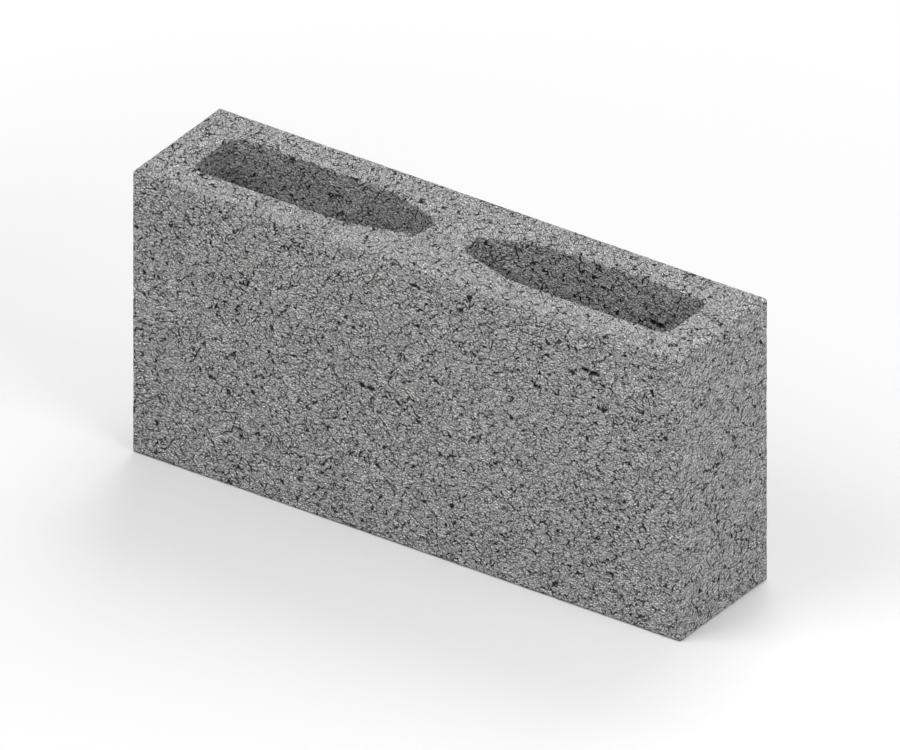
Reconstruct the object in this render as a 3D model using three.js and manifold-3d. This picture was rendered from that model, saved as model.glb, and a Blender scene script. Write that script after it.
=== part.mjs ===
// Two-core hollow concrete block for 90 mm single-leaf walls, 390 x 90 x 190 mm.
//
// The block stands on its lower bed face, as it is laid: length along X, thickness along Y, height
// along Z, with the origin at the middle of the lower bed face. It is pressed in one piece, so it is
// one solid: two face shells, two end webs and a centre web around two long cores that pass right
// through it. Each core is a plain slot next to the end web. Towards the middle of the block its
// sides bend inwards and close on a blunt nose, so the centre web spreads into both face shells.
// The cores have draft: they are narrowest at the upper bed face, which carries the mortar, and
// open out towards the lower one.

import * as THREE from "three";
import { RoundedBoxGeometry } from "three/addons/geometries/RoundedBoxGeometry.js";
import { mergeVertices } from "three/addons/utils/BufferGeometryUtils.js";
import Module from "manifold-3d";

// ---- Driving dimensions, in millimetres; the walls are those at the upper bed face ----

const BLOCK_LENGTH = 390;
const BLOCK_THICKNESS = 90;
const BLOCK_HEIGHT = 190;
const ARRIS_RADIUS = 1.2; // worn-off sharpness of the outer edges

const FACE_SHELL = 22.5; // wall between a core and the front or back face
const END_WEB = 26; // wall between a core and the end face
const CENTRE_WEB = 31; // wall between the noses of the two cores

const CORE_DRAFT = 2; // how far each core wall leans back over the block's height
const CORE_END_RADIUS = 8.5; // corners beside the end web
const CORE_TAPER_LENGTH = 43; // from the bend in the core's sides to its nose
const CORE_SHOULDER_RADIUS = 75; // round of that bend
const CORE_NOSE_WIDTH = 19; // between the sharp corners of the nose, before they are rounded
const CORE_NOSE_RADIUS = 7.5;
const CORE_RIM_RADIUS = 1.2; // round of the core's edge in each bed face

// ---- How finely curves are divided ----

const ARC_DIVISIONS = 5;
const RIM_DIVISIONS = 4;
const ARRIS_DIVISIONS = 3;

const wasm = await Module();
wasm.setup();

// ---- Plan of a core ----

// Corners of half a core's plan, from the end web to the nose. The core lies along +X with the middle
// of its end wall at the origin, and the other half is the mirror image.
function halfCoreCorners() {
  const coreLength = BLOCK_LENGTH / 2 - END_WEB - CENTRE_WEB / 2;
  const halfWidth = BLOCK_THICKNESS / 2 - FACE_SHELL;
  return [
    { x: 0, y: halfWidth, radius: CORE_END_RADIUS },
    { x: coreLength - CORE_TAPER_LENGTH, y: halfWidth, radius: CORE_SHOULDER_RADIUS },
    { x: coreLength, y: CORE_NOSE_WIDTH / 2, radius: CORE_NOSE_RADIUS },
  ];
}

// Rounds a corner with an arc that takes at most half of each edge beside it. The corners run
// clockwise round a convex outline, seen from above.
function cornerArc(before, corner, after) {
  const at = new THREE.Vector2(corner.x, corner.y);
  const back = new THREE.Vector2(before.x, before.y).sub(at);
  const on = new THREE.Vector2(after.x, after.y).sub(at);
  const halfRoom = Math.min(back.length(), on.length()) / 2;
  back.normalize();
  on.normalize();
  const halfAngle = Math.acos(THREE.MathUtils.clamp(back.dot(on), -1, 1)) / 2;
  const radius = Math.min(corner.radius, halfRoom * Math.tan(halfAngle));
  const centre = at.clone().addScaledVector(back.add(on).normalize(), radius / Math.sin(halfAngle));
  const middle = at.clone().sub(centre).angle();
  const halfSweep = Math.PI / 2 - halfAngle;
  return { centre, radius, from: middle + halfSweep, to: middle - halfSweep };
}

// The core's outline, grown outwards by `growth`. Straight sides join the arcs, which keep their
// centres, so outlines of different growth have the same number of points.
function coreOutline(growth) {
  const half = halfCoreCorners();
  const mirrored = half.map(({ x, y, radius }) => ({ x, y: -y, radius })).reverse();
  const corners = [...half, ...mirrored];
  const outline = new THREE.Shape();
  corners.forEach((corner, i) => {
    const before = corners[(i + corners.length - 1) % corners.length];
    const after = corners[(i + 1) % corners.length];
    const arc = cornerArc(before, corner, after);
    outline.absarc(arc.centre.x, arc.centre.y, arc.radius + growth, arc.from, arc.to, true);
  });
  outline.closePath();
  const points = outline.getPoints(ARC_DIVISIONS);
  points.pop(); // the first point again
  return points.reverse(); // anticlockwise from above
}

// ---- Height of a core ----

// Heights up the block, each with how far the core's outline has grown there. The walls lean back
// steadily, and flare in a quarter round at each bed face.
function coreStations() {
  const draftAt = (z) => CORE_DRAFT * (1 - z / BLOCK_HEIGHT);
  const stations = [];
  for (let i = 0; i <= RIM_DIVISIONS; i += 1) {
    const turn = (i / RIM_DIVISIONS) * (Math.PI / 2);
    const rise = CORE_RIM_RADIUS * (1 - Math.cos(turn));
    const flare = CORE_RIM_RADIUS * (1 - Math.sin(turn));
    stations.push({ z: rise, growth: draftAt(rise) + flare });
    stations.push({ z: BLOCK_HEIGHT - rise, growth: draftAt(BLOCK_HEIGHT - rise) + flare });
  }
  const clear = CORE_RIM_RADIUS + 1; // the cutter stands out of both bed faces
  stations.push({ z: -clear, growth: draftAt(0) + CORE_RIM_RADIUS });
  stations.push({ z: BLOCK_HEIGHT + clear, growth: CORE_RIM_RADIUS });
  return stations.sort((a, b) => a.z - b.z);
}

// Closed solid through the outlines of all stations, with flat ends.
function coreGeometry() {
  const stations = coreStations();
  const rings = stations.map(({ growth }) => coreOutline(growth));
  const count = rings[0].length;
  const positions = rings.flatMap((ring, s) => ring.flatMap((p) => [p.x, p.y, stations[s].z]));
  const index = [];
  for (let s = 0; s + 1 < rings.length; s += 1) {
    for (let i = 0; i < count; i += 1) {
      const a = s * count + i;
      const b = s * count + ((i + 1) % count);
      index.push(a, b, b + count, a, b + count, a + count);
    }
  }
  const last = (rings.length - 1) * count;
  for (let i = 1; i + 1 < count; i += 1) {
    index.push(0, i + 1, i);
    index.push(last, last + i, last + i + 1);
  }
  const geometry = new THREE.BufferGeometry();
  geometry.setAttribute("position", new THREE.Float32BufferAttribute(positions, 3));
  return geometry.setIndex(index);
}

// ---- Solids and meshes ----

function toSolid(geometry) {
  const bare = geometry.clone();
  bare.deleteAttribute("normal");
  bare.deleteAttribute("uv");
  const merged = mergeVertices(bare);
  const vertProperties = merged.attributes.position.array;
  const triVerts = new Uint32Array(merged.index.array);
  return new wasm.Manifold(new wasm.Mesh({ numProp: 3, vertProperties, triVerts }));
}

function toGeometry(solid) {
  const { vertProperties, triVerts } = solid.getMesh();
  const geometry = new THREE.BufferGeometry();
  geometry.setAttribute("position", new THREE.BufferAttribute(vertProperties, 3));
  geometry.setIndex(new THREE.BufferAttribute(triVerts, 1));
  geometry.computeVertexNormals();
  return geometry;
}

function blockEnvelope() {
  const box = new RoundedBoxGeometry(
    BLOCK_LENGTH,
    BLOCK_THICKNESS,
    BLOCK_HEIGHT,
    ARRIS_DIVISIONS,
    ARRIS_RADIUS,
  );
  return toSolid(box.translate(0, 0, BLOCK_HEIGHT / 2));
}

function blockSolid() {
  const endWallX = BLOCK_LENGTH / 2 - END_WEB;
  const leftCore = coreGeometry().translate(-endWallX, 0, 0);
  const rightCore = coreGeometry().rotateZ(Math.PI).translate(endWallX, 0, 0);
  return blockEnvelope().subtract(toSolid(leftCore)).subtract(toSolid(rightCore));
}

const denseConcrete = new THREE.MeshStandardMaterial({
  color: 0x8c8c8b,
  roughness: 0.92,
  metalness: 0,
  flatShading: true,
});

const block = new THREE.Mesh(toGeometry(blockSolid()), denseConcrete);
block.name = "block";

const hollowBlock = new THREE.Group();
hollowBlock.add(block);

export default hollowBlock;
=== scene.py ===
"""Two-core hollow concrete block, 390 x 90 x 190 mm, on a plain pale studio floor.

The block is one pressed piece of dense concrete. The mesh carries what a fingertip would find: stones
that lie a little deeper than their neighbours, the slow unevenness of the pressed faces, the odd void
where the mix was not compacted, and a few tears. The finish adds the cracks between the stones, the
chips and sand that fill the skin between them, and the dust on it. It also paints shade into the
cracks, gaps, voids, tears and core walls and onto the top and underside, and paints light and shade
onto the sides of each grain.
"""

import math

import bmesh
import bpy
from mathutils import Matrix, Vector


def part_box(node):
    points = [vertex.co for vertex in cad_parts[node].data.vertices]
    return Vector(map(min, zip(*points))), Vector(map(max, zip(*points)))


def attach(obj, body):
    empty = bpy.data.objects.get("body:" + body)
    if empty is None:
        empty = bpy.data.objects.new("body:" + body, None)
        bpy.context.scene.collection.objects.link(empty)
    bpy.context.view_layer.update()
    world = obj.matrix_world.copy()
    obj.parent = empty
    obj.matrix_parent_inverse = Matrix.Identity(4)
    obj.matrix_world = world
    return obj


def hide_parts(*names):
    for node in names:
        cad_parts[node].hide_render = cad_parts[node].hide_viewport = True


MM = 0.001

# ---- Skin of the block, sizes in metres ----

SKIN_VOXEL = 0.7 * MM  # how finely the skin is worked before it is thinned
SKIN_TRIANGLES = 195_000

STONE_SIZE = 5.5 * MM  # the coarsest aggregate, middle to middle
STONE_WANDER = 1.5 * MM  # how far the stones' outlines wander from straight
STONE_SINK = 0.22 * MM  # how much deeper some stones lie than their neighbours
SWELL_SIZE = 22.0 * MM  # slow unevenness of the pressed faces
SWELL_DEPTH = 0.12 * MM
VOID_SPACING = 21.0 * MM
VOID_RADIUS = 2.6 * MM
VOID_LEAST = 0.6 * MM  # any smaller void is left out
VOID_NONE = 0.45  # the share of places without one
VOID_DEPTH = 1.8 * MM
VOID_FLOOR = 0.35  # the share of its radius over which a void is at its deepest
VOID_FROM_ARRIS = 8.0 * MM  # the outer edges are pressed sound
VOID_WAVE = 3.0 * MM  # a void's outline is ragged, in waves of this size
VOID_WANDER = 1.8 * MM  # that reach this far
TEARS = [  # the larger flaws, flat and level: middle, half length
    ((0.1334, -0.045, 0.1613), 4.6 * MM),
    ((0.1277, -0.045, 0.1620), 3.4 * MM),
    ((0.1334, 0.0225, 0.1614), 5.0 * MM),
    ((0.1285, 0.0225, 0.1620), 3.8 * MM),
    ((-0.0252, -0.045, 0.0986), 4.0 * MM),
    ((-0.0315, -0.045, 0.0990), 3.2 * MM),
]
TEAR_FLATNESS = 2.2  # half length to half height
TEAR_DEPTH = 2.6 * MM
TEAR_FLOOR = 0.3  # the share of its length over which a tear is at its deepest
TEAR_WAVE = 2.5 * MM
TEAR_WANDER = 0.7 * MM
PLACE = "pressed_place"  # where a point of the skin lay on the mould's face

# ---- Finish ----

CEMENT = (0.655, 0.655, 0.65)  # cleanest cement, before the shade of cracks, gaps and voids
ROUGHNESS = 0.9
SHINE = 0.3
STONES = {  # width, dark and depth are the cracks', dark being their painted shade, rise is how much higher a stone may lie
    "Stone Size": STONE_SIZE,
    "Wander": STONE_WANDER,
    "Patch Size": 3.5 * MM,
    "Width": 0.66 * MM,
    "Dark": 0.94,
    "Depth": 1.2 * MM,
    "Rise": 1.8 * MM,
}
CHIPS = {  # finer stone between the coarse ones
    "Stone Size": 2.6 * MM,
    "Wander": 0.8 * MM,
    "Patch Size": 3.0 * MM,
    "Width": 0.54 * MM,
    "Dark": 0.9,
    "Depth": 0.8 * MM,
    "Rise": 1.2 * MM,
}
CHIPS_SHIFT = (0.11, 0.14, 0.07)  # the chips' cells must not line up with the stones'
CRACK_PATCHES = (0.27, 0.45)  # the patch pattern's values over which cracks go from shut to open
CRACK_DROPS = (-0.1, 0.4)  # and how much lower a stone must lie than the next, the most being 1
CRACK_ABOVE = (0.3, 1.5)  # how wide a crack is if the next stone is below it, and if it is above, where its painted shadow falls wider
CRACK_FLOOR = 0.65  # the share of its width that is fully in painted shade
CRACK_LEAST = 0.01 * MM  # keeps the width above nothing
PALE_STONES = (0.85, 1.16)  # the random number past which a stone is paler, and the palest's shade
SAND = {  # the gap width is in grains, shade and gap dark are the painted shade in the gaps
    "Size": 1.4 * MM,
    "Rise": 0.8 * MM,
    "Dome": 0.9 * MM,
    "Gap Width": 0.22,
    "Shade": 0.7,
    "Gap Dark": 0.15,
}
SAND_WAVE = 1.3 * MM
SAND_WANDER = 0.6 * MM
GRAIN_RADIUS = 0.8  # in grains, so that neighbours meet
GAP_LIMIT = 0.9  # the most light that a gap takes away
DUST_SIZE = 0.6 * MM
DUST_RISE = 0.5 * MM
CLOUD_SIZE = 30.0 * MM
SPECK_SIZE = 1.4 * MM
SPECK_NONE = 0.91  # the share of places without a pale speck
SPECK_EDGE = (0.2, 0.45)  # where a speck starts to fade and where it ends, in specks
SPECK_GAIN = 0.8
# Darkest and palest stones, grains of sand, dust and clouds, then the painted shade in voids and tears,
# all as shares of the cement's own shade.
STONE_SHADES = (0.97, 1.03)
SAND_SHADES = (0.94, 1.06)
DUST_SHADES = (0.75, 1.25)
CLOUD_SHADES = (0.98, 1.02)
VOID_PAINTED_SHADE = 0.68
TEAR_PAINTED_SHADE = 0.12
PAINTED_LIGHT_FROM = (0.1, -0.3, 1.0)  # painted light falls on this side of each grain of an upright face, painted shade on the far side
PAINTED_LIGHT_FROM_ON_TOP = (0.55, 0.38, 0.0)  # and on this side on the top and underside
PAINTED_LIGHT_LEAN = 1.5  # how much paler the painted light makes that side than the face, and the painted shade the far side darker
TOP_DEPTH = 1.05  # how much more strongly the painted shade of cracks and gaps, and the rest of the tone, shows on the struck-off top and underside
TOP_PAINTED_SHADE = 0.88  # and how much darker they are painted, painted shade that tones down the light on the top
CORE_PAINTED_SHADE = 0.69  # painted shade: the core walls, behind the block's sides, are darker than the outer sides
CORE_INSET = 12.0 * MM  # anything deeper than this behind the block's sides is core wall

# ---- Layout for a texture bake, all in millimetres ----

LAYOUT_SIDE = 640
LAYOUT_SKIN = 3  # a face this near one of the block's outer faces belongs to it
LAYOUT_FLAT = 0.3  # but to the top or underside only if it looks that way by this much
LAYOUT = {  # surface, axis it looks along, whether towards plus, core: start, left, bottom, scale
    ("outer", 1, False): (0, 5, 5, 1),
    ("outer", 1, True): (0, 5, 200, 1),
    ("outer", 0, False): (0, 495, 5, 1),
    ("outer", 0, True): (0, 400, 5, 1),
    ("outer", 2, True): (0, 5, 395, 1),
    ("outer", 2, False): (0, 5, 490, 1),
    ("core", 1, False, False): (22, 400, 200, 0.7),
    ("core", 1, True, False): (22, 517, 200, 0.7),
    ("core", 1, False, True): (206, 400, 395, 0.7),
    ("core", 1, True, True): (206, 517, 395, 0.7),
    ("core", 0, False, False): (18, 400, 533, 0.55),
    ("core", 0, True, False): (18, 433, 533, 0.55),
    ("core", 0, False, True): (18, 466, 533, 0.55),
    ("core", 0, True, True): (18, 499, 533, 0.55),
}

# ---- Studio ----

CAMERA_AZIMUTH = 34.69  # degrees, 0 looks at the front face, 90 at the right end
CAMERA_ELEVATION = 30.22
CAMERA_DISTANCE = 3.0
CAMERA_REACH = 60.0
VIEW_WIDTH = 0.5263  # metres across the camera's view
FLOOR_SIZE = 30.0
FLOOR_SEEN = 1.0  # the floor's own shade
FLOOR_BOUNCE = 0.4  # how much of the light it throws back at the block
WHITE_FROM = (0.38, 0.62)  # metres from the block's middle over which the floor fades into white
SURROUND = 0.328  # light from all around, where 1 is a white of 1
SOFT_BOXES = {  # azimuth, elevation, distance, side, strength
    "right": (75, 30, 0.9, 0.6, 0.382),
    "back": (195, 50, 1.5, 1.0, 0.422),
    "left front": (330, 50, 1.5, 1.0, 0.4125),
}


# ---- Node wiring, for shader and geometry trees alike ----


def add(tree, kind, inputs=None, **settings):
    """Adds a node, sets its properties, and feeds each input with a value or another node's output."""
    node = tree.nodes.new(kind)
    for name, value in settings.items():
        setattr(node, name, value)
    for key, value in (inputs or {}).items():
        if isinstance(value, bpy.types.NodeSocket):
            tree.links.new(value, node.inputs[key])
        else:
            node.inputs[key].default_value = value
    return node


def math_of(tree, operation, *values):
    return add(tree, "ShaderNodeMath", dict(enumerate(values)), operation=operation).outputs[0]


def vector_of(tree, operation, *values):
    return add(tree, "ShaderNodeVectorMath", dict(enumerate(values)), operation=operation).outputs[0]


def dot(tree, one, other):
    node = add(tree, "ShaderNodeVectorMath", {0: one, 1: other}, operation="DOT_PRODUCT")
    return node.outputs["Value"]


def length_of(tree, vector):
    return add(tree, "ShaderNodeVectorMath", {0: vector}, operation="LENGTH").outputs["Value"]


def scaled(tree, vector, by):
    node = add(tree, "ShaderNodeVectorMath", {"Vector": vector, "Scale": by}, operation="SCALE")
    return node.outputs["Vector"]


def ramp(tree, value, start, end, low=0.0, high=1.0, smooth=True):
    """Value taken from [start, end] to [low, high], held at both ends."""
    inputs = {"Value": value, "From Min": start, "From Max": end, "To Min": low, "To Max": high}
    kind = "SMOOTHSTEP" if smooth else "LINEAR"
    return add(tree, "ShaderNodeMapRange", inputs, interpolation_type=kind).outputs["Result"]


def one_over(tree, size):
    return math_of(tree, "DIVIDE", 1.0, size) if isinstance(size, bpy.types.NodeSocket) else 1.0 / size


def noise(tree, place, size, shift=0.0, detail=1.0, output="Fac"):
    """Soft random pattern, about 0.5 on average, size in metres. Shift picks another part of it."""
    moved = vector_of(tree, "ADD", place, (shift, shift * 0.7, shift * 1.3))
    inputs = {"Vector": moved, "Scale": one_over(tree, size), "Detail": detail, "Roughness": 0.5}
    return add(tree, "ShaderNodeTexNoise", inputs).outputs[output]


def cells(tree, place, size, feature):
    """Random cells, about size across. Gives the Voronoi node's outputs, with distances in cells."""
    inputs = {"Vector": place, "Scale": one_over(tree, size)}
    return add(tree, "ShaderNodeTexVoronoi", inputs, feature=feature).outputs


def parts(tree, vector):
    return add(tree, "ShaderNodeSeparateXYZ", {"Vector": vector}).outputs


def wandering(tree, place, size, reach, shift=0.0):
    """Place moved at random by up to about reach, in waves of the given size."""
    waves = noise(tree, place, size, shift, detail=0.0, output="Color")
    centred = vector_of(tree, "SUBTRACT", waves, (0.5, 0.5, 0.5))
    twice = math_of(tree, "MULTIPLY", reach, 2.0)
    return vector_of(tree, "ADD", place, scaled(tree, centred, twice))


def new_group(name, kind, inputs, outputs):
    """Node group with named sockets. Inputs are (name, socket type, default), outputs (name, type)."""
    tree = bpy.data.node_groups.new(name, kind)
    for label, socket, default in inputs:
        made = tree.interface.new_socket(label, in_out="INPUT", socket_type=socket)
        if default is not None:
            made.default_value = default
    for label, socket in outputs:
        tree.interface.new_socket(label, in_out="OUTPUT", socket_type=socket)
    return tree, tree.nodes.new("NodeGroupInput").outputs, tree.nodes.new("NodeGroupOutput").inputs


def feed(tree, sources, sinks):
    for label, source in sources.items():
        tree.links.new(source, sinks[label])


# ---- Patterns that the relief and the finish share ----


def neighbours(tree, place, size):
    """The nearest two cells: nearest cell, next cell, distance to the edge between them in cells, and
    how far the next cell lies straight above, from -1 to 1."""
    nearest, following = cells(tree, place, size, "F1"), cells(tree, place, size, "F2")
    across = vector_of(tree, "SUBTRACT", following["Position"], nearest["Position"])
    apart = length_of(tree, across)
    squares = [math_of(tree, "POWER", each["Distance"], 2.0) for each in (following, nearest)]
    further = math_of(tree, "MULTIPLY", math_of(tree, "SUBTRACT", squares[0], squares[1]), size)
    edge = math_of(tree, "DIVIDE", further, math_of(tree, "MULTIPLY", apart, 2.0))
    return nearest, following, edge, math_of(tree, "DIVIDE", parts(tree, across)["Z"], apart)


def stone_cells(tree, place, size, wander):
    """Stones at a place: metres to the stone's edge, its random numbers, those of the next stone, and
    how far the next stone lies above it."""
    half = math_of(tree, "MULTIPLY", size, 0.5)
    moved = wandering(tree, place, half, wander, shift=0.05)
    nearest, following, edge, above = neighbours(tree, moved, size)
    own, beside = parts(tree, nearest["Color"]), parts(tree, following["Color"])
    return math_of(tree, "MULTIPLY", edge, size), own, beside, above


def void_pattern(tree, place, spacing, widest):
    """How far inside a void a place is, from 0 to 1. Some cells hold one, ragged, of its own size."""
    ragged = wandering(tree, place, VOID_WAVE, VOID_WANDER, shift=5.3)
    nearest = cells(tree, ragged, spacing, "F1")
    away = math_of(tree, "MULTIPLY", nearest["Distance"], spacing)
    share = parts(tree, nearest["Color"])["X"]
    radius = math_of(tree, "MULTIPLY", ramp(tree, share, VOID_NONE, 1.0), widest)
    inside = ramp(tree, away, math_of(tree, "MULTIPLY", radius, VOID_FLOOR), radius, 1.0, 0.0)
    return math_of(tree, "MULTIPLY", inside, math_of(tree, "GREATER_THAN", radius, VOID_LEAST))


def tear_pattern(tree, place):
    """How far inside a tear a place is, from 0 to 1."""
    ragged = wandering(tree, place, TEAR_WAVE, TEAR_WANDER, shift=7.1)
    inside = 0.0
    for middle, half_length in TEARS:
        offset = vector_of(tree, "SUBTRACT", ragged, middle)
        offset = vector_of(tree, "MULTIPLY", offset, (1.0, 1.0, TEAR_FLATNESS))
        away = length_of(tree, offset)
        within = ramp(tree, away, half_length * TEAR_FLOOR, half_length, 1.0, 0.0)
        inside = math_of(tree, "MAXIMUM", inside, within)
    return inside


def insets(tree, place, half_size):
    """How far in from the block's nearest end, side and top or bottom a place is."""
    offset = vector_of(tree, "SUBTRACT", place, (0.0, 0.0, half_size[2]))
    return parts(tree, vector_of(tree, "SUBTRACT", half_size, vector_of(tree, "ABSOLUTE", offset)))


def behind_sides(tree, place, half_size, depth):
    """0 on the block's outer sides and 1 deeper in than depth."""
    inset = insets(tree, place, half_size)
    return ramp(tree, math_of(tree, "MINIMUM", inset[0], inset[1]), depth / 2, depth)


def clear_of_arris(tree, place, half_size, margin):
    """0 at the block's outer edges and 1 further in than margin."""
    inset = insets(tree, place, half_size)
    pairs = [math_of(tree, "MAXIMUM", inset[i], inset[j]) for i, j in ((0, 1), (1, 2), (0, 2))]
    second = math_of(tree, "MINIMUM", math_of(tree, "MINIMUM", pairs[0], pairs[1]), pairs[2])
    return ramp(tree, second, math_of(tree, "MULTIPLY", margin, 0.3), margin)


def sound_voids(tree, place, half_size, spacing, widest, margin):
    hollow = void_pattern(tree, place, spacing, widest)
    return math_of(tree, "MULTIPLY", hollow, clear_of_arris(tree, place, half_size, margin))


# ---- Relief ----


def relief_tree(half_size):
    """Geometry Nodes tree that works the skin's relief into a smooth dense mesh, inwards only."""
    tree, given, result = new_group(
        "pressed_relief",
        "GeometryNodeTree",
        [
            ("Geometry", "NodeSocketGeometry", None),
            ("Stone Size", "NodeSocketFloat", STONE_SIZE),
            ("Stone Wander", "NodeSocketFloat", STONE_WANDER),
            ("Stone Sink", "NodeSocketFloat", STONE_SINK),
            ("Swell Size", "NodeSocketFloat", SWELL_SIZE),
            ("Swell Depth", "NodeSocketFloat", SWELL_DEPTH),
            ("Void Spacing", "NodeSocketFloat", VOID_SPACING),
            ("Void Radius", "NodeSocketFloat", VOID_RADIUS),
            ("Void Depth", "NodeSocketFloat", VOID_DEPTH),
            ("Void From Arris", "NodeSocketFloat", VOID_FROM_ARRIS),
            ("Tear Depth", "NodeSocketFloat", TEAR_DEPTH),
            ("Finish", "NodeSocketMaterial", None),
        ],
        [("Geometry", "NodeSocketGeometry")],
    )
    place = add(tree, "GeometryNodeInputPosition").outputs[0]
    kept = add(
        tree,
        "GeometryNodeStoreNamedAttribute",
        {"Geometry": given["Geometry"], "Name": PLACE, "Value": place},
        data_type="FLOAT_VECTOR",
        domain="POINT",
    ).outputs[0]
    own = stone_cells(tree, place, given["Stone Size"], given["Stone Wander"])[1]
    sink = math_of(tree, "MULTIPLY", math_of(tree, "SUBTRACT", 1.0, own["Z"]), given["Stone Sink"])
    swell = ramp(tree, noise(tree, place, given["Swell Size"], shift=2.9), 0.3, 0.7)
    swell = math_of(tree, "MULTIPLY", swell, given["Swell Depth"])
    hollow = sound_voids(
        tree, place, half_size, given["Void Spacing"], given["Void Radius"], given["Void From Arris"]
    )
    hollow = math_of(tree, "MULTIPLY", hollow, given["Void Depth"])
    torn = math_of(tree, "MULTIPLY", tear_pattern(tree, place), given["Tear Depth"])
    hollow = math_of(tree, "MAXIMUM", hollow, torn)
    depth = math_of(tree, "ADD", math_of(tree, "ADD", sink, swell), hollow)
    normal = add(tree, "GeometryNodeInputNormal").outputs[0]
    inward = scaled(tree, normal, math_of(tree, "MULTIPLY", depth, -1.0))
    worked = add(tree, "GeometryNodeSetPosition", {"Geometry": kept, "Offset": inward}).outputs[0]
    whole = add(tree, "GeometryNodeRealizeInstances", {"Geometry": worked}).outputs[0]
    done = add(
        tree, "GeometryNodeSetMaterial", {"Geometry": whole, "Material": given["Finish"]}
    ).outputs[0]
    feed(tree, {"Geometry": done}, result)
    return tree


# ---- Finish ----


def cracks_group():
    """Shader group: stones of one size, with a crack along part of each edge, on the lower stone. The
    crack's darkness is painted shade, wider under a stone that lies above.
    """
    tree, given, result = new_group(
        "cracks_between_stones",
        "ShaderNodeTree",
        [
            ("Place", "NodeSocketVector", None),
            *[(label, "NodeSocketFloat", value) for label, value in STONES.items()],
        ],
        [("Height", "NodeSocketFloat"), ("Light", "NodeSocketFloat"), ("Chance", "NodeSocketFloat")],
    )
    edge, own, beside, above = stone_cells(tree, given["Place"], given["Stone Size"], given["Wander"])
    drop = math_of(tree, "SUBTRACT", beside["Z"], own["Z"])
    patch = noise(tree, given["Place"], given["Patch Size"], shift=1.7)
    patchy, lower = ramp(tree, patch, *CRACK_PATCHES), ramp(tree, drop, *CRACK_DROPS)
    opened = math_of(tree, "MULTIPLY", patchy, lower)
    # Painted shadow: a crack is wider under a stone that lies above it.
    opened = math_of(tree, "MULTIPLY", opened, ramp(tree, above, -0.6, 0.6, *CRACK_ABOVE))
    width = math_of(tree, "ADD", math_of(tree, "MULTIPLY", opened, given["Width"]), CRACK_LEAST)
    crack = ramp(tree, edge, math_of(tree, "MULTIPLY", width, CRACK_FLOOR), width, 1.0, 0.0)
    crack = math_of(tree, "MULTIPLY", crack, ramp(tree, opened, 0.0, 0.3))
    # The crack's darkness is painted shade.
    light = math_of(tree, "SUBTRACT", 1.0, math_of(tree, "MULTIPLY", crack, given["Dark"]))
    pale_from, palest = PALE_STONES
    light = math_of(tree, "MULTIPLY", light, ramp(tree, own["Y"], pale_from, 1.0, 1.0, palest))
    height = math_of(tree, "MULTIPLY", own["Z"], given["Rise"])
    height = math_of(tree, "SUBTRACT", height, math_of(tree, "MULTIPLY", crack, given["Depth"]))
    feed(tree, {"Height": height, "Light": light, "Chance": own["X"]}, result)
    return tree


def grains_group():
    """Shader group: round grains of one size, packed side by side, each at its own height. A grain
    lower than its neighbour gets painted shade along the gap between them.
    """
    tree, given, result = new_group(
        "packed_grains",
        "ShaderNodeTree",
        [
            ("Place", "NodeSocketVector", None),
            *[(label, "NodeSocketFloat", value) for label, value in SAND.items()],
        ],
        [("Height", "NodeSocketFloat"), ("Light", "NodeSocketFloat"), ("Chance", "NodeSocketFloat")],
    )
    moved = wandering(tree, given["Place"], SAND_WAVE, SAND_WANDER, shift=0.01)
    nearest, following, edge, _ = neighbours(tree, moved, given["Size"])
    own, beside = parts(tree, nearest["Color"]), parts(tree, following["Color"])
    out = math_of(tree, "DIVIDE", nearest["Distance"], GRAIN_RADIUS)
    out = math_of(tree, "MINIMUM", out, 0.99)
    cap = math_of(tree, "SQRT", math_of(tree, "SUBTRACT", 1.0, math_of(tree, "MULTIPLY", out, out)))
    height = math_of(tree, "MULTIPLY", cap, given["Dome"])
    height = math_of(tree, "ADD", height, math_of(tree, "MULTIPLY", own["Z"], given["Rise"]))
    # Painted shade in the gap beside a higher grain.
    near = ramp(tree, edge, 0.0, given["Gap Width"], 1.0, 0.0)
    drop = math_of(tree, "MAXIMUM", math_of(tree, "SUBTRACT", beside["Z"], own["Z"]), 0.0)
    lost = math_of(tree, "ADD", math_of(tree, "MULTIPLY", drop, given["Shade"]), given["Gap Dark"])
    lost = math_of(tree, "MINIMUM", math_of(tree, "MULTIPLY", lost, near), GAP_LIMIT)
    light = math_of(tree, "SUBTRACT", 1.0, lost)
    feed(tree, {"Height": height, "Light": light, "Chance": own["X"]}, result)
    return tree


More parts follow.
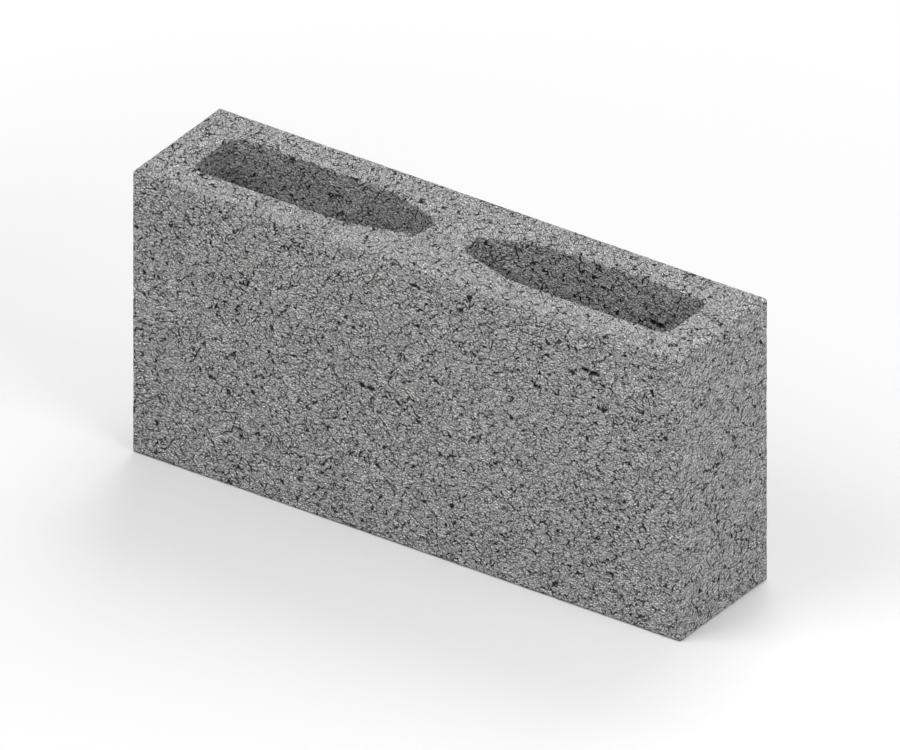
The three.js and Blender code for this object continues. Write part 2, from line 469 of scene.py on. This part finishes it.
def concrete_finish(half_size):
    material = bpy.data.materials.new("dense_concrete")
    material.use_nodes = True
    tree = material.node_tree
    tree.nodes.clear()
    place = add(tree, "ShaderNodeAttribute", attribute_name=PLACE).outputs["Vector"]

    cracks = cracks_group()
    stones = add(tree, "ShaderNodeGroup", {"Place": place}, node_tree=cracks).outputs
    finer = {"Place": vector_of(tree, "ADD", place, CHIPS_SHIFT), **CHIPS}
    chips = add(tree, "ShaderNodeGroup", finer, node_tree=cracks).outputs
    sand = add(tree, "ShaderNodeGroup", {"Place": place}, node_tree=grains_group()).outputs
    dust = math_of(tree, "SUBTRACT", noise(tree, place, DUST_SIZE, shift=0.6), 0.5)
    cloud = noise(tree, place, CLOUD_SIZE, shift=3.1, detail=3.0)

    height = math_of(tree, "ADD", stones["Height"], chips["Height"])
    height = math_of(tree, "ADD", height, sand["Height"])
    height = math_of(tree, "ADD", height, math_of(tree, "MULTIPLY", dust, DUST_RISE))

    # Shade: each stone and grain a little lighter or darker than the next, painted shade in cracks,
    # gaps, voids and tears, slow clouds of lighter and darker cement, painted shade on the core walls,
    # and the odd pale speck.
    hollow = sound_voids(tree, place, half_size, VOID_SPACING, VOID_RADIUS, VOID_FROM_ARRIS)
    specks = cells(tree, place, SPECK_SIZE, "F1")
    chosen = math_of(tree, "GREATER_THAN", parts(tree, specks["Color"])["X"], SPECK_NONE)
    bright = ramp(tree, specks["Distance"], *SPECK_EDGE, SPECK_GAIN, 0.0)
    speck = math_of(tree, "MULTIPLY", chosen, bright)
    tone = math_of(tree, "ADD", speck, 1.0)
    face = add(tree, "ShaderNodeNewGeometry").outputs["Normal"]
    upright = math_of(tree, "SUBTRACT", 1.0, math_of(tree, "ABSOLUTE", parts(tree, face)["Z"]))
    # Painted shade on the core walls, recessed behind the block's sides.
    within = math_of(tree, "MULTIPLY", upright, behind_sides(tree, place, half_size, CORE_INSET))
    for factor in (
        stones["Light"],
        chips["Light"],
        sand["Light"],
        ramp(tree, stones["Chance"], 0.0, 1.0, *STONE_SHADES, smooth=False),
        ramp(tree, sand["Chance"], 0.0, 1.0, *SAND_SHADES, smooth=False),
        ramp(tree, dust, -0.5, 0.5, *DUST_SHADES, smooth=False),
        ramp(tree, cloud, 0.3, 0.7, *CLOUD_SHADES),
        ramp(tree, hollow, 0.0, 1.0, 1.0, VOID_PAINTED_SHADE, smooth=False),
        ramp(tree, tear_pattern(tree, place), 0.0, 0.4, 1.0, TEAR_PAINTED_SHADE),
        ramp(tree, within, 0.0, 1.0, 1.0, CORE_PAINTED_SHADE, smooth=False),
    ):
        tone = math_of(tree, "MULTIPLY", tone, factor)
    # Painted shade on the top and underside: the tone shows more strongly there, and darker.
    tone = math_of(tree, "POWER", tone, ramp(tree, upright, 0.0, 1.0, TOP_DEPTH, 1.0, smooth=False))
    tone = math_of(tree, "MULTIPLY", tone, ramp(tree, upright, 0.0, 1.0, TOP_PAINTED_SHADE, 1.0, smooth=False))

    # Painted light on one side of each grain, on an upright face mostly the upper, and painted shade on
    # the far side, both read off the bumped surface.
    bump = add(tree, "ShaderNodeBump", {"Height": height, "Distance": 1.0, "Strength": 1.0}).outputs[0]
    flat = math_of(tree, "SUBTRACT", 1.0, upright)
    on_top = scaled(tree, PAINTED_LIGHT_FROM_ON_TOP, flat)
    side = vector_of(tree, "ADD", scaled(tree, PAINTED_LIGHT_FROM, upright), on_top)
    across = math_of(tree, "MULTIPLY", dot(tree, face, side), dot(tree, bump, face))
    lean = math_of(tree, "SUBTRACT", dot(tree, bump, side), across)
    painted_light = ramp(tree, lean, -1.0, 1.0, 1.0 - PAINTED_LIGHT_LEAN, 1.0 + PAINTED_LIGHT_LEAN, smooth=False)
    colour = scaled(tree, CEMENT, math_of(tree, "MULTIPLY", tone, painted_light))
    surface = add(tree, "ShaderNodeBsdfPrincipled", {"Base Color": colour, "Normal": bump})
    surface.inputs["Roughness"].default_value = ROUGHNESS
    surface.inputs["Specular IOR Level"].default_value = SHINE
    out = add(tree, "ShaderNodeOutputMaterial")
    tree.links.new(surface.outputs[0], out.inputs["Surface"])
    return material


# ---- Making the block ----


def object_from(mesh, name):
    made = bpy.data.objects.new(name, mesh)
    bpy.context.scene.collection.objects.link(made)
    return made


def settled(made, modifier):
    """Makes the modifier's result the object's own mesh."""
    shown = made.evaluated_get(bpy.context.evaluated_depsgraph_get())
    mesh = bpy.data.meshes.new_from_object(shown)
    made.modifiers.remove(modifier)
    old, made.data = made.data, mesh
    bpy.data.meshes.remove(old)


def lay_out(mesh, low, high):
    """The skin laid out flat, for a texture bake: each outer face whole, the core walls in strips.

    A face of the mesh belongs to the outer face that it lies near and looks most towards, or else to
    the wall of its own core that looks the same way.
    """
    uv = mesh.uv_layers.new(name="OFBake").uv
    corners = [vertex.co for vertex in mesh.vertices]
    for face in mesh.polygons:
        normal, center = face.normal, face.center
        near = []
        for axis in range(3):
            plus = center[axis] > (low[axis] + high[axis]) / 2
            depth = high[axis] - center[axis] if plus else center[axis] - low[axis]
            facing = normal[axis] if plus else -normal[axis]
            if depth < LAYOUT_SKIN * MM and (axis < 2 or facing > LAYOUT_FLAT):
                near.append((facing, axis, plus))
        if near:
            _, axis, plus = max(near)
            key = ("outer", axis, plus)
        else:
            axis = 0 if abs(normal[0]) > abs(normal[1]) else 1
            key = ("core", axis, normal[axis] > 0, center[0] > 0)
        start, left, bottom, scale = LAYOUT[key]
        across, up = [(1, 2), (0, 2), (0, 1)][axis]
        for loop in face.loop_indices:
            point = (corners[mesh.loops[loop].vertex_index] - low) / MM
            place = (left + (point[across] - start) * scale, bottom + point[up] * scale)
            uv[loop].vector = (place[0] / LAYOUT_SIDE, place[1] / LAYOUT_SIDE)


def worked_block(smooth, finish, low, high):
    """The block's skin: a dense even mesh over the smooth block, worked in relief, then thinned."""
    mesh = smooth.data.copy()
    shell = bmesh.new()
    shell.from_mesh(mesh)
    bmesh.ops.remove_doubles(shell, verts=shell.verts, dist=1e-6)
    shell.to_mesh(mesh)
    shell.free()
    block = object_from(mesh, "block_skin")

    even = block.modifiers.new("even mesh", "REMESH")
    even.mode = "VOXEL"
    even.voxel_size = SKIN_VOXEL
    settled(block, even)

    relief = block.modifiers.new("relief", "NODES")
    relief.node_group = relief_tree((high - low) / 2)
    for item in relief.node_group.interface.items_tree:
        if item.in_out == "INPUT" and item.name == "Finish":
            relief[item.identifier] = finish
    settled(block, relief)

    faces = len(block.data.polygons)
    thin = block.modifiers.new("thin", "DECIMATE")
    thin.ratio = SKIN_TRIANGLES / (2 * faces)
    thin.use_collapse_triangulate = True
    settled(block, thin)
    held = [min(max(c, a), b) for v in block.data.vertices for c, a, b in zip(v.co, low, high)]
    block.data.vertices.foreach_set("co", held)
    block.data.polygons.foreach_set("use_smooth", [True] * len(block.data.polygons))
    block.data.update()
    lay_out(block.data, low, high)
    return block


# ---- Studio ----


def heading(azimuth, elevation):
    """Unit vector from the block towards a point at this azimuth and elevation, in degrees."""
    turn, rise = math.radians(azimuth), math.radians(elevation)
    return Vector((math.sin(turn) * math.cos(rise), -math.cos(turn) * math.cos(rise), math.sin(rise)))


def aim(made, target, towards, distance):
    made.location = target + towards * distance
    made.rotation_euler = (-towards).to_track_quat("-Z", "Y").to_euler()


def set_camera(target):
    data = bpy.data.cameras.new("camera")
    data.type = "ORTHO"
    data.ortho_scale = VIEW_WIDTH
    data.clip_end = CAMERA_REACH
    camera = object_from(data, "camera")
    aim(camera, target, heading(CAMERA_AZIMUTH, CAMERA_ELEVATION), CAMERA_DISTANCE)
    bpy.context.scene.camera = camera


def soft_box(name, target, azimuth, elevation, distance, side, strength):
    """Square soft box. At strength 1 it alone lights a surface that faces it to a white of 1."""
    data = bpy.data.lights.new(name, "AREA")
    data.shape = "SQUARE"
    data.size = side
    data.energy = strength * math.pi * math.pi * distance * distance
    made = object_from(data, name)
    made.visible_camera = False
    aim(made, target, heading(azimuth, elevation), distance)


def seen_directly(tree):
    """1 for what is seen, straight or in metal or glass, and 0 for what only lights other things."""
    path = add(tree, "ShaderNodeLightPath").outputs
    seen = math_of(tree, "MAXIMUM", path["Is Camera Ray"], path["Is Glossy Ray"])
    return math_of(tree, "MAXIMUM", seen, path["Is Transmission Ray"])


def pale_floor():
    mesh = bpy.data.meshes.new("floor")
    half = FLOOR_SIZE / 2
    corners = [(-half, -half, 0), (half, -half, 0), (half, half, 0), (-half, half, 0)]
    mesh.from_pydata(corners, [], [(0, 1, 2, 3)])
    material = bpy.data.materials.new("pale_floor")
    material.use_nodes = True
    tree = material.node_tree
    tree.nodes.clear()
    seen = seen_directly(tree)
    shades = {"Factor": seen, "A": FLOOR_BOUNCE, "B": FLOOR_SEEN}
    tone = add(tree, "ShaderNodeMix", shades, data_type="FLOAT").outputs[0]
    place = add(tree, "ShaderNodeTexCoord").outputs["Object"]
    far = math_of(tree, "MULTIPLY", ramp(tree, length_of(tree, place), *WHITE_FROM), seen)
    matt = add(tree, "ShaderNodeBsdfDiffuse", {"Color": tone}).outputs[0]
    white = add(tree, "ShaderNodeEmission", {"Color": (1.0, 1.0, 1.0, 1.0), "Strength": 1.0}).outputs[0]
    mixed = add(tree, "ShaderNodeMixShader", {"Fac": far, 1: matt, 2: white}).outputs[0]
    out = add(tree, "ShaderNodeOutputMaterial")
    tree.links.new(mixed, out.inputs["Surface"])
    mesh.materials.append(material)
    floor = object_from(mesh, "floor")


def white_surround(strength):
    world = bpy.data.worlds.new("surround")
    bpy.context.scene.world = world
    world.use_nodes = True
    tree = world.node_tree
    tree.nodes.clear()
    levels = {"Factor": seen_directly(tree), "A": strength, "B": 1.0}
    level = add(tree, "ShaderNodeMix", levels, data_type="FLOAT")
    white = {"Color": (1.0, 1.0, 1.0, 1.0), "Strength": level.outputs[0]}
    glow = add(tree, "ShaderNodeBackground", white)
    out = add(tree, "ShaderNodeOutputWorld")
    tree.links.new(glow.outputs[0], out.inputs["Surface"])


# ---- The scene ----

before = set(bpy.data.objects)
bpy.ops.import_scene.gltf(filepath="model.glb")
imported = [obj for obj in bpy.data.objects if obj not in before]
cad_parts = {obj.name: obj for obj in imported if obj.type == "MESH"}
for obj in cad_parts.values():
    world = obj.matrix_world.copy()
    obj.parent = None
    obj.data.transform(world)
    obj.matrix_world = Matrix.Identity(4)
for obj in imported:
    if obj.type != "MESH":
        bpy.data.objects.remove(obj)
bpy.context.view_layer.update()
bpy.context.scene.view_settings.view_transform = "Standard"

low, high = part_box("block")
middle = (low + high) / 2

set_camera(middle)
pale_floor()
white_surround(SURROUND)
for name, setting in SOFT_BOXES.items():
    soft_box(name, middle, *setting)

finish = concrete_finish((high - low) / 2)
block = worked_block(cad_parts["block"], finish, low, high)
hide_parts("block")
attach(block, "root")
